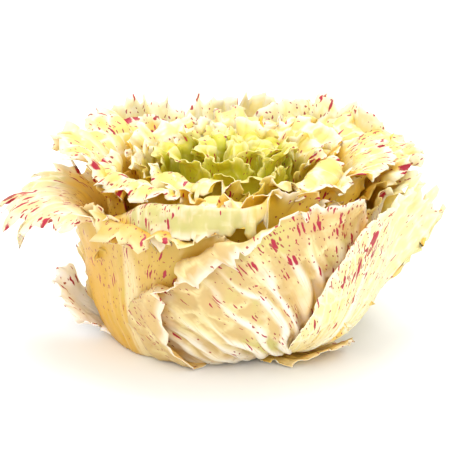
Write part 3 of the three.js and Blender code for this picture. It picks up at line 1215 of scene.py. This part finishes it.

# %% [markdown]
# ## Tones of the outer leaves
#
# The outer leaves saw the most light. The back ones are plain cream, the front one is nearly white
# with tan hollows between its ribs, partly painted shade, the left one is golden, and the tips that
# tore off or hang over carry the heaviest strokes. Six tones and two amounts of marks are all that
# differ.

# %% Finishes of the outer leaves
# Base and Gold also serve as painted shade: Base near the foot and on shaded faces, Gold deep between
# the leaves
LEAF_FINISH = {
    "cream": leaf_material("cream_leaf", (0.81, 0.68, 0.24), (0.85, 0.82, 0.50), (0.82, 0.74, 0.31),
                           (0.89, 0.87, 0.68), (0.80, 0.57, 0.08), (0.70, 0.72, 0.25),
                           strokes=0.20, specks=0.35),
    "sunny": leaf_material("sunny_leaf", (0.84, 0.64, 0.26), (0.86, 0.79, 0.47), (0.84, 0.73, 0.34),
                           (0.89, 0.85, 0.64), (0.80, 0.54, 0.10), (0.74, 0.73, 0.30),
                           strokes=0.10, specks=0.3),
    # the front leaf's dark Pocket tone is partly painted shade in the hollows between its ribs
    "belly": leaf_material("white_ribbed_leaf", (0.79, 0.62, 0.41), (0.79, 0.66, 0.31),
                           (0.63, 0.44, 0.17), (0.90, 0.83, 0.69), (0.82, 0.53, 0.11),
                           (0.62, 0.59, 0.17),
                           strokes=0.15, specks=0.3),
    "torn": leaf_material("torn_tip_leaf", (0.78, 0.56, 0.18), (0.82, 0.68, 0.40), (0.74, 0.60, 0.30),
                          (0.88, 0.80, 0.62), (0.80, 0.54, 0.08), (0.60, 0.62, 0.24),
                          strokes=0.45, specks=0.3),
    "gold": leaf_material("golden_leaf", (0.66, 0.36, 0.03), (0.70, 0.49, 0.15), (0.62, 0.42, 0.08),
                          (0.82, 0.70, 0.40), (0.67, 0.36, 0.015), (0.54, 0.47, 0.08),
                          strokes=0.12, specks=0.35),
    "white": leaf_material("pale_leaf", (0.95, 0.93, 0.90), (0.95, 0.94, 0.91), (0.94, 0.92, 0.86),
                           (0.96, 0.95, 0.94), (0.95, 0.92, 0.86), (0.92, 0.90, 0.80),
                           strokes=0.14, specks=0.10),
}
print("outer finishes:", ", ".join(LEAF_FINISH))

# %% [markdown]
# ## Tones of the rosette and the heart
#
# Towards the middle the leaves turn from cream to lemon, and the heart is a sharp yellow green
# that painted shade deepens where the small leaves crowd. The first leaf of the rosette has a minty
# collar, with painted golden shade on the right of its body, below the crest.
# They are the same finish with other tones, so they join the same list.

# %% Finishes of the rosette and the heart
LEAF_FINISH |= {
    "collar": leaf_material("mint_collar_leaf", (0.80, 0.57, 0.08), (0.78, 0.62, 0.36),
                            (0.56, 0.50, 0.17), (0.86, 0.76, 0.58), (0.80, 0.52, 0.02),
                            (0.44, 0.46, 0.11),
                            strokes=0.3, specks=0.4),
    "rosette": leaf_material("rosette_leaf", (0.82, 0.57, 0.07), (0.85, 0.73, 0.34), (0.82, 0.64, 0.18),
                             (0.91, 0.86, 0.70), (0.80, 0.50, 0.015), (0.68, 0.66, 0.15),
                             strokes=0.17, specks=0.45),
    "inner": leaf_material("inner_leaf", (0.68, 0.54, 0.05), (0.83, 0.70, 0.28), (0.78, 0.61, 0.14),
                           (0.90, 0.84, 0.64), (0.66, 0.48, 0.02), (0.50, 0.54, 0.08),
                           strokes=0.16, specks=0.35),
    "heart": leaf_material("heart_leaf", (0.56, 0.53, 0.02), (0.66, 0.57, 0.05), (0.56, 0.51, 0.02),
                           (0.84, 0.76, 0.33), (0.56, 0.50, 0.01), (0.42, 0.47, 0.02),
                           strokes=0.08, specks=0.35),
}
print("finishes in all:", len(LEAF_FINISH))

# %% [markdown]
# ## What describes a leaf
#
# Every leaf is grown by the same steps, so a leaf is only a list of values: where it stands, how
# wide each half spreads, how it bends, and how its margin behaves. Most leaves share most of
# them. So there is one list of usual values, and each leaf names only what is its own.
#
# Lengths are in mm and angles in degrees. A column runs from -1, the left margin, over 0, the
# rib, to 1. Lists such as reach, fold or sags give a value at some columns, and the rest is
# filled in between.

# %% Usual values of a leaf
USUAL_LEAF = {
    # the outline: narrowest foot, widest place, length beyond the cup's rim, and how rays spread
    "foot_width": 21, "waist": 0.58, "extra": 0, "flare": 2, "reach": (),
    # how it lies: rib thickness, distance from its cup, lean, and bend (from the rim, radius, angle)
    "rib": 2.4, "away": 0, "lean": 0, "tightest": 14, "bend": (0, 40, 20), "sags": (),
    # the folded or rolled margin
    "fold": (), "fold_radius": 3, "fold_lift": 0.1, "roll": (), "curl": 45, "curl_width": 9,
    # teeth, notches and single points
    "tooth": 1.7, "tooth_gap": 3.6, "deepest": 4, "tooth_zone": 14, "points": (),
    # relief and veins
    "ruffles": BIG_RUFFLES, "pucker": 0.5, "pucker_size": 8, "ridge": 0.7, "cell": (12, 12),
    "rays": 0.72, "ray_power": 3, "ray_end": 0.4, "net": 0.75,
    # finish, golden parts (on some leaves painted shade) and crowded marks
    "finish": "cream", "golden": (), "golden_end": (0.65, 0.95), "blushes": (),
    # the mesh
    "columns": 190, "rows": 60, "keep": 0.35, "slot": "outer_leaf", "seed": 1,
}
CALM_WIDTH = 40


def half(width, sweep, **changes):
    """The left or right half of a blade; narrow halves ruffle less."""
    return {"width": width, "sweep": sweep, "drop": 0.3, "hug": 1, "away": 0, "square": 1.0,
            "calm": min(width / CALM_WIDTH, 1), **changes}


def leaf_of(name, azimuth, foot, left, right, **changes):
    """A leaf with the usual values, apart from the changes."""
    return {**USUAL_LEAF, "name": name, "azimuth": azimuth, "foot": foot, "left": left,
            "right": right, **changes}


print("values of a leaf:", len(USUAL_LEAF))

# %% [markdown]
# ## The lowest leaves
#
# Ten leaves make the bowl, and the lowest three come first. A golden stub lies on the table at
# the front right, where a leaf tore off. A pale scrap stands out low at the left. Behind the head
# a broad leaf rises. A short leaf is a long one whose length ends early, so no new recipe is
# needed for the stubs.

# %% Lowest leaves
FOOT_RUFFLES = ((14, 1.2, 0.8), (6, 0.8, 0.8))

OUTER_LEAVES = [
    leaf_of(
        "torn_leaf", -70, 3.2, half(20, 110), half(26, 110),
        foot_width=8, extra=-93, rib=2, lean=25, columns=110, rows=40, ruffles=FOOT_RUFFLES,
        tooth=3, finish="torn", golden=((-1, 0.8), (1, 0.8)), golden_end=(0.8, 1),
        seed=11, keep=0.5),
    leaf_of(
        "far_left_leaf", 180, 3.2, half(36, 120), half(24, 110),
        extra=-75, rib=2, away=8, seed=12, finish="white"),
    leaf_of(
        "back_leaf_low", 95, 3.2, half(62, 130), half(58, 130),
        extra=-5, seed=13, tooth=2.6, reach=((-0.5, 16), (-0.18, 9), (-0.05, 0))),
]
print("lowest leaves:", ", ".join(leaf["name"] for leaf in OUTER_LEAVES))

# %% [markdown]
# ## Right and back
#
# The right leaf flares far out, and its lower margin is torn away in a ragged line: its list of
# reach cuts the blade back, column by column. Two broad leaves close the bowl at the back. The
# tear could be cut with a boolean, but a reach keeps the veins running to the torn edge.

# %% Right and back leaves
OUTER_LEAVES += [
    leaf_of(
        "right_leaf", -68, 6.4, half(25, 112, calm=0.12),
        half(94, 148, hug=0.1, drop=0.42, away=-13),
        lean=30, flare=3.4, foot_width=14, rib=2.2, away=6, extra=-10, bend=(-38, 70, 32),
        reach=((0.0, 0), (0.1, 0), (0.2, 4), (0.25, -7), (0.3, 3), (0.34, -4), (0.39, 2),
               (0.43, 4), (0.45, -24), (0.47, -18), (0.49, -30), (0.51, -40), (0.54, -58),
               (0.6, -54), (0.63, -74), (0.69, -70), (0.8, -76), (0.9, -74), (1, -62)),
        blushes=((-0.1, 0.85, 9), (-0.45, 0.88, 7), (-0.1, 0.67, 4)),
        # its left half is golden as painted shade, where it lies against the front leaf
        golden=((-1, 0.7), (-0.3, 0.3), (0.0, 0)), golden_end=(0.5, 0.95),
        columns=240, rows=70, tooth=3.2, seed=14, finish="sunny"),
    leaf_of(
        "back_leaf_left", 130, 6.0, half(60, 130), half(44, 130),
        extra=3, seed=15, tooth=2.6),
    leaf_of(
        "back_leaf_right", 45, 6.6, half(58, 130), half(70, 130),
        extra=3, seed=16, tooth=2.6, reach=((0.1, 0), (0.25, 8), (0.5, 14))),
]
print("leaves so far:", len(OUTER_LEAVES))

# %% [markdown]
# ## The front leaf
#
# The widest leaf wraps the whole front. Its crest folds outwards and lies on its own stout ribs,
# lowest at the left, where the fold is 50 mm deep. Strong ridges and deep puckers make it the
# crinkled part of the head, so its grid is the finest and its ruffles are the stiffest.

# %% Front leaf
STIFF_RUFFLES = ((26, 0.8, 0.3), (11, 0.7, 0.6), (5, 0.4, 0.8))

OUTER_LEAVES += [
    leaf_of(
        "front_leaf", -48, 9.2, half(127, 138, square=1.18), half(14, 120, square=1.18),
        extra=-7, waist=0.5, foot_width=17, away=7, columns=300, rows=100,
        sags=((-127, 6), (-60, 9), (-20, 4), (14, 0)),
        reach=((-0.52, 0), (-0.45, -15), (-0.41, -15), (-0.37, -4), (-0.3, 0)),
        fold=((-1, 16), (-0.8, 36), (-0.65, 50), (-0.56, 50), (-0.5, 24), (-0.46, 9),
              (-0.40, 9), (-0.35, 16), (-0.29, 14), (-0.2, 9), (-0.12, 4), (-0.05, 0), (1, 0)),
        fold_radius=2.2, curl=15, curl_width=6, ruffles=STIFF_RUFFLES,
        pucker=2.4, pucker_size=15, ridge=3.2, cell=(16, 13),
        rays=0.8, ray_power=1.5, ray_end=0.66, net=0.36, finish="belly",
        # its right part, beside the right leaf, is golden as painted shade
        golden=((-0.25, 0), (-0.18, 1), (1, 1)), golden_end=(0.6, 0.8),
        blushes=((-0.2, 0.91, 5), (-0.11, 0.94, 4), (-0.07, 0.91, 4), (-0.19, 0.83, 3)),
        seed=17),
]
print("the front leaf's crest folds back at most", max(y for _, y in OUTER_LEAVES[-1]["fold"]), "mm")

# %% [markdown]
# ## Left leaf and tips
#
# The left leaf turns its smooth golden back to the front, and its crest drops forward in a short
# flap. Two narrow leaves let only their tips hang over the rim. The tip at the left ends in long
# torn points, which are single teeth with places and sizes of their own.

# %% Left leaf and tips
LEFT_RUFFLES = ((24, 2.0, 0.5), (10, 1.4, 0.8), (5, 0.6, 0.8))

OUTER_LEAVES += [
    leaf_of(
        "left_leaf", -134, 9.6, half(70, 152, drop=0.6, away=3), half(88, 128, square=0.72),
        extra=-7, bend=(-27, 6, 125), sags=((-70, 26), (-8, 26), (25, 0)),
        reach=((-0.3, -9), (-0.08, -8), (0.0, 0), (0.2, 0), (0.35, -6)),
        ruffles=LEFT_RUFFLES, curl=30, tooth=2.4, ridge=0.4, net=0.35, ray_end=0.25,
        finish="gold", golden_end=(0.85, 0.97),
        golden=((-1, 1), (-0.35, 0.85), (-0.05, 0.2), (0.3, 0.15), (0.5, 0.7), (1, 1)),
        seed=18),
    leaf_of(
        "right_tip_leaf", -4, 11.9, half(48, 125), half(38, 125),
        foot_width=14, extra=-6, bend=(-35, 30, 62), seed=19),
    leaf_of(
        "left_tip_leaf", -176, 12.2, half(42, 125), half(60, 125),
        foot_width=15, extra=13, bend=(-43, 24, 94), seed=20, tooth=3.4, finish="torn",
        blushes=((0.23, 0.78, 4), (0.12, 0.73, 4), (0.42, 0.9, 4), (-0.04, 0.97, 6),
                 (0.34, 0.99, 5)),
        reach=((-0.3, 0), (-0.1, 0), (0.05, -2), (0.2, 4), (0.33, 10), (0.6, 19), (0.8, 8)),
        columns=220, rows=80, tooth_zone=24,
        points=((0.40, 11, 5), (0.47, 13, 6), (0.55, 9, 5))),
]
print("outer leaves:", ", ".join(leaf["name"] for leaf in OUTER_LEAVES))

# %% [markdown]
# ## Leaves with changes of their own
#
# The rosette inside the bowl follows a rule, but a few of its leaves are seen whole, so they
# depart from it. Above all the first, a broad collar whose rolled lip runs round the front of the
# rose. The others bend lower or reach further. Only what differs is listed, by the leaf's number.

# %% Changes in the rosette
COLLAR_RUFFLES = ((40, 2.0, 0.3), (15, 3.0, 0.8), (7, 0.8, 0.9), (4, 0.5, 0.8))

ROSETTE_CHANGES = {
    0: {"azimuth": -96, "extra": -10, "bend": (0, 40, 0), "rows": 90, "columns": 260,
        "tooth": 2.6, "tooth_zone": 9, "curl": 75, "net": 0.5, "ridge": 0.3, "pucker": 0.3,
        "cell": (9, 20), "ray_end": 0.8, "finish": "collar", "keep": 0.6,
        "ruffles": COLLAR_RUFFLES,
        "points": ((0.49, 5, 3), (0.53, 6, 2.5), (0.57, 7, 3), (0.60, 6, 2.5)),
        "reach": ((0.04, 0), (0.12, 4), (0.25, 9), (0.4, 11), (0.6, 6)),
        "roll": ((-1, 8, 60, 5), (-0.45, 14, 100, 4.5), (-0.3, 26, 142, 4.5),
                 (0.06, 25, 142, 4.5), (0.11, 12, 120, 4.5), (0.16, 5, 60, 4.5),
                 (0.35, 5, 60, 6), (1, 8, 40, 8)),
        # the right of its body, below the crest, is golden as painted shade
        "golden": ((0.04, 0), (0.12, 1), (0.6, 1)), "golden_end": (0.93, 0.99)},
    1: {"extra": 14, "bend": (-30, 26, 84),
        "reach": ((-0.75, 0), (-0.5, 9), (-0.25, 8), (-0.1, 0)),
        "blushes": ((0.06, 0.89, 4), (-0.26, 0.81, 3), (-0.14, 0.84, 3))},
    2: {"extra": 19, "bend": (-22, 25, 75), "columns": 220},
    3: {"extra": 2, "bend": (-12, 8, 85), "seed": 143},
    6: {"extra": 12, "bend": (-27, 26, 66)},
    9: {"bend": (-20, 18, 66)},
}
print("leaves of the rosette with changes:", len(ROSETTE_CHANGES))

# %% [markdown]
# ## The rosette and the heart
#
# Leaf follows leaf at the golden angle, each one smaller and higher than the last. That one rule
# places 26 of them. Leaves on the near side roll outwards in nested flaps below the line of
# sight, and the far ones stand up behind the heart.

# %% Rosette and heart leaves
ROSETTE_COUNT = 26
FIRST_HEART = 15
FIRST_AZIMUTH = -112
FIRST_FOOT = 13.9
FOOT_STEP = 1.11
WIDEST_HALF = 64
NARROWEST_HALF = 9
NARROWING = 0.9
NEAR_SIDE = -0.3
CREST_DROP = 14
CREST_BELOW_RIM = 5
FLAP = {"rosette": 18, "heart": 11}
CREST_RADIUS = 5
CREST_ANGLE = 112
SWAY_HEIGHT = 3
SWAY_TURN = 2.4
HEART_STANDS = 5
STAND_BACK = 9
DROP_FRONT = 14
FIRST_INNER = 10
SWEEP = 128
SQUARE = 0.75


def rosette_leaf(i):
    """The values of one leaf of the rosette: 0 is the outermost, and the last is the innermost."""
    inner = i / (ROSETTE_COUNT - 1)
    heart = i >= FIRST_HEART
    kind = "heart" if heart else "rosette"
    azimuth = (FIRST_AZIMUTH + GOLDEN_ANGLE * i + 180) % 360 - 180
    facing = math.sin(azimuth * DEG)
    width = WIDEST_HALF + (NARROWEST_HALF - WIDEST_HALF) * inner ** NARROWING
    name = f"heart_leaf_{i - FIRST_HEART + 1}" if heart else f"rosette_leaf_{i + 1}"
    changes = {
        "foot_width": 19 - 15 * inner, "rib": 2.4 - 1.4 * inner, "tightest": 14 - 7 * inner,
        "extra": (SWAY_HEIGHT * math.sin(SWAY_TURN * i) + (HEART_STANDS if heart else 0)
                  + (STAND_BACK if azimuth > 0 else DROP_FRONT) * facing * (1 - inner)),
        "columns": 150 if heart else 190, "rows": 50 if heart else 60,
        "slot": kind + "_leaf", "finish": "inner" if FIRST_INNER <= i < FIRST_HEART else kind,
        "ruffles": SMALL_RUFFLES if heart else BIG_RUFFLES, "seed": 40 + i,
        "curl": 70 if heart else 50, "curl_width": 7,
        "bend": (-9, 5, 115) if heart else (-13, 9, 80),
    }
    if facing < NEAR_SIDE:
        crest = CREST_DROP * facing * (1 - inner) - CREST_BELOW_RIM
        changes["extra"] = crest + FLAP[kind]
        changes["bend"] = (crest, CREST_RADIUS, CREST_ANGLE)
    changes.update(ROSETTE_CHANGES.get(i, {}))
    azimuth = changes.pop("azimuth", azimuth)
    side = half(width, SWEEP, square=SQUARE)
    return leaf_of(name, azimuth, FIRST_FOOT + FOOT_STEP * i, side, side, **changes)


LEAVES = OUTER_LEAVES + [rosette_leaf(i) for i in range(ROSETTE_COUNT)]
print("leaves to grow:", len(LEAVES))

# %% [markdown]
# ## Grow and dress
#
# All the surfaces are grown first, because a leaf's sheltered places depend on every other leaf.
# Then each one becomes a solid with its finish, takes its plain solid's place, and rides on the
# one body that the head is.

# %% Grow the leaves
surfaces = {leaf["name"]: leaf_surface(leaf) for leaf in LEAVES}
tree = head_tree(surfaces)
for leaf in LEAVES:
    make_leaf(leaf, surfaces[leaf["name"]], tree)
pieces = [piece for piece in bpy.data.objects if piece.name.endswith("_blade")]
print("leaves:", len(pieces), "with", sum(len(piece.data.polygons) for piece in pieces), "faces")

# %% [markdown]
# ## The finish of the cut
#
# The head was cut from its root with a knife, so the foot of the stem is a disc of pale pith. The
# cut dries first along the ring of vessels and at the rim, which turn brown. Rings are read from
# the distance to the stem's middle, and a little noise keeps them from being drawn by compass.

# %% Finish of the cut
PITH = (0.80, 0.70, 0.46, 1)
DRIED_PITH = (0.60, 0.40, 0.18, 1)
VESSEL_RING = (0.36, 0.18, 0.06, 1)
BROWN_RIM = (0.30, 0.15, 0.05, 1)
PITH_ROUGHNESS = 0.6
RING_INNER_EDGE = (9.0, 10.4)
RING_OUTER_EDGE = (12.4, 11.0)
RING_SHARE = 0.8
RIM_EDGE = (13.6, 15.6)
STAIN_SCALE = 160.0
STAIN_EDGE = (0.45, 0.7)
STAIN_WANDER = 2.0


def stem_material():
    material = bpy.data.materials.new("cut_pith")
    material.use_nodes = True
    graph = Graph(material.node_tree)
    shader = material.node_tree.nodes["Principled BSDF"]
    place = graph.node("ShaderNodeTexCoord").outputs["Object"]
    wander = graph.cloud(place, STAIN_SCALE)
    across = graph.vector("MULTIPLY", place, (1 / MM, 1 / MM, 0.0))
    length = graph.node("ShaderNodeVectorMath", operation="LENGTH")
    graph.put(across, length.inputs[0])
    stray = graph.maths("MULTIPLY", wander, STAIN_WANDER)
    radius = graph.maths("ADD", length.outputs["Value"], stray)
    colour = graph.mix(PITH, DRIED_PITH, graph.ramp(wander, *STAIN_EDGE))
    inner, outer = graph.ramp(radius, *RING_INNER_EDGE), graph.ramp(radius, *RING_OUTER_EDGE)
    ring = graph.maths("MULTIPLY", graph.maths("MULTIPLY", inner, outer), RING_SHARE)
    colour = graph.mix(colour, VESSEL_RING, ring)
    colour = graph.mix(colour, BROWN_RIM, graph.ramp(radius, *RIM_EDGE))
    graph.put(colour, shader.inputs["Base Color"])
    shader.inputs["Roughness"].default_value = PITH_ROUGHNESS
    return material


print("the brown ring lies", RING_INNER_EDGE[1], "to", RING_OUTER_EDGE[1], "mm from the middle")

# %% [markdown]
# ## The cut stem
#
# The disc and the cone hidden in the head are one surface of revolution. The spin operator would
# make it too. Here the profile goes round on the same sheet of points as the leaves, so that the
# cut can be left slightly uneven, as a knife leaves it. Then the seam and the poles are merged.

# %% Stem
CUT_PROFILE = ((0.0, 0.5), (6.0, 0.35), (11.0, 0.1), (13.6, 0.0), (14.8, 0.7), (15.0, 3.0),
               (7.5, 24.5), (0.3, 45.0))
STEM_SIDES = 96
STEM_STEPS = 6
KNIFE_MARK_SIZE = 3.0
KNIFE_MARK_DEPTH = 0.2
MERGE_DISTANCE = 0.00001


def make_stem():
    turn = np.linspace(0, 2 * math.pi, STEM_SIDES + 1)
    profile = spline(CUT_PROFILE, STEM_STEPS)
    radius = np.clip(profile[:, :1], 0, None)
    points = np.stack([radius * np.cos(turn), radius * np.sin(turn),
                       np.broadcast_to(profile[:, 1:], (len(profile), len(turn)))], axis=-1)
    rough = noise(points, KNIFE_MARK_SIZE, 5) * KNIFE_MARK_DEPTH * smooth(radius, 0, 3)
    points[..., 2] = np.maximum(points[..., 2] + rough * (points[..., 2] < 1), 0)
    piece = grid_object("stem_cut", points)[0]
    bpy.ops.object.mode_set(mode="EDIT")
    bpy.ops.mesh.select_all(action="SELECT")
    bpy.ops.mesh.remove_doubles(threshold=MERGE_DISTANCE)
    bpy.ops.mesh.normals_make_consistent(inside=False)
    bpy.ops.object.mode_set(mode="OBJECT")
    bpy.ops.object.shade_smooth()
    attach(piece, "root")
    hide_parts("cut_stem")
    piece.data.materials.append(stem_material())
    return piece


print("stem faces:", len(make_stem().data.polygons))

# %% [markdown]
